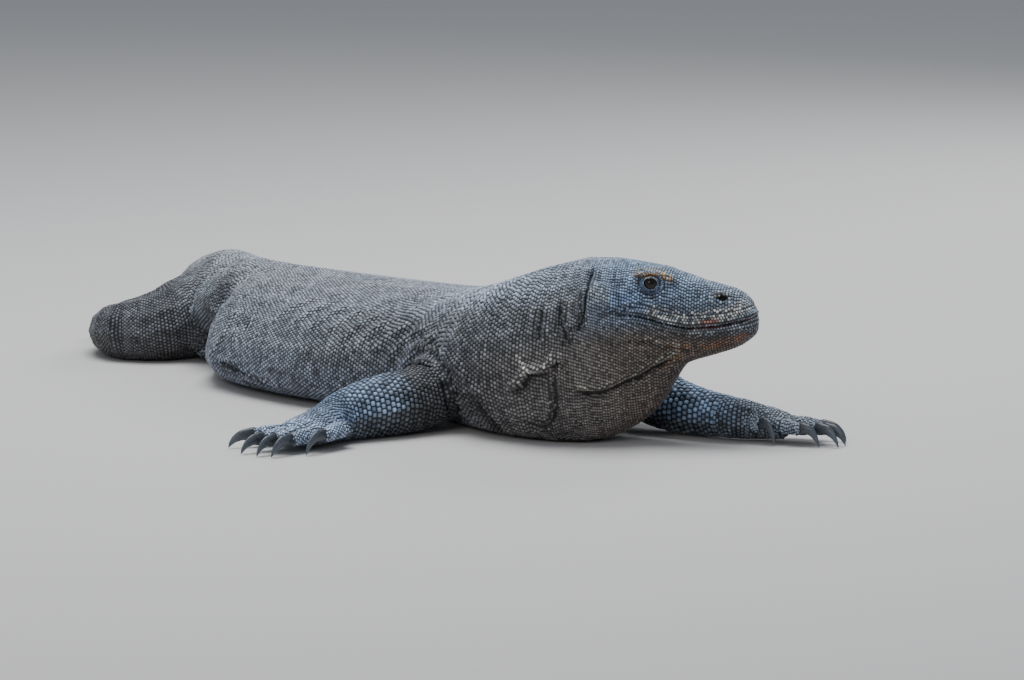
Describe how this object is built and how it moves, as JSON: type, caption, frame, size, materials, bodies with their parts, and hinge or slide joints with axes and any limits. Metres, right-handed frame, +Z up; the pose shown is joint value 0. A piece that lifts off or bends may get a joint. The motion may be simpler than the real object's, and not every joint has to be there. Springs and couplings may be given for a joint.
{
  "type": "komodo dragon",
  "caption": "Adult monitor lizard lying on its belly with its head up and turned, arms spread, hind legs splayed and tail curled behind.",
  "frame": {"origin": "on the floor, under the middle of the bounding box", "axes": "+Z up; +X roughly the way the snout points; the animal's right side and its hands are towards -Y"},
  "size_m": [0.9668, 1.0986, 0.2193],
  "materials": {
    "skin": "matte beaded scales",
    "claw": "horn, semi-gloss",
    "eye": "wet"
  },
  "bodies": {
    "root": {"head": "skin", "lower_jaw": "skin", "neck": "skin", "trunk": "skin", "tail_base": "skin", "tail_middle": "skin", "tail_tip": "skin", "eye_left": "eye", "eye_right": "eye", "front_right_upper_leg": "skin", "front_right_lower_leg": "skin", "front_right_foot": "skin", "front_right_claw_1": "claw", "front_right_claw_2": "claw", "front_right_claw_3": "claw", "front_right_claw_4": "claw", "front_right_claw_5": "claw", "front_left_upper_leg": "skin", "front_left_lower_leg": "skin", "front_left_foot": "skin", "front_left_claw_1": "claw", "front_left_claw_2": "claw", "front_left_claw_3": "claw", "front_left_claw_4": "claw", "front_left_claw_5": "claw", "hind_right_upper_leg": "skin", "hind_right_lower_leg": "skin", "hind_right_foot": "skin", "hind_right_claw_1": "claw", "hind_right_claw_2": "claw", "hind_right_claw_3": "claw", "hind_right_claw_4": "claw", "hind_right_claw_5": "claw", "hind_left_upper_leg": "skin", "hind_left_lower_leg": "skin", "hind_left_foot": "skin", "hind_left_claw_1": "claw", "hind_left_claw_2": "claw", "hind_left_claw_3": "claw", "hind_left_claw_4": "claw", "hind_left_claw_5": "claw"}
  },
  "joints": []
}
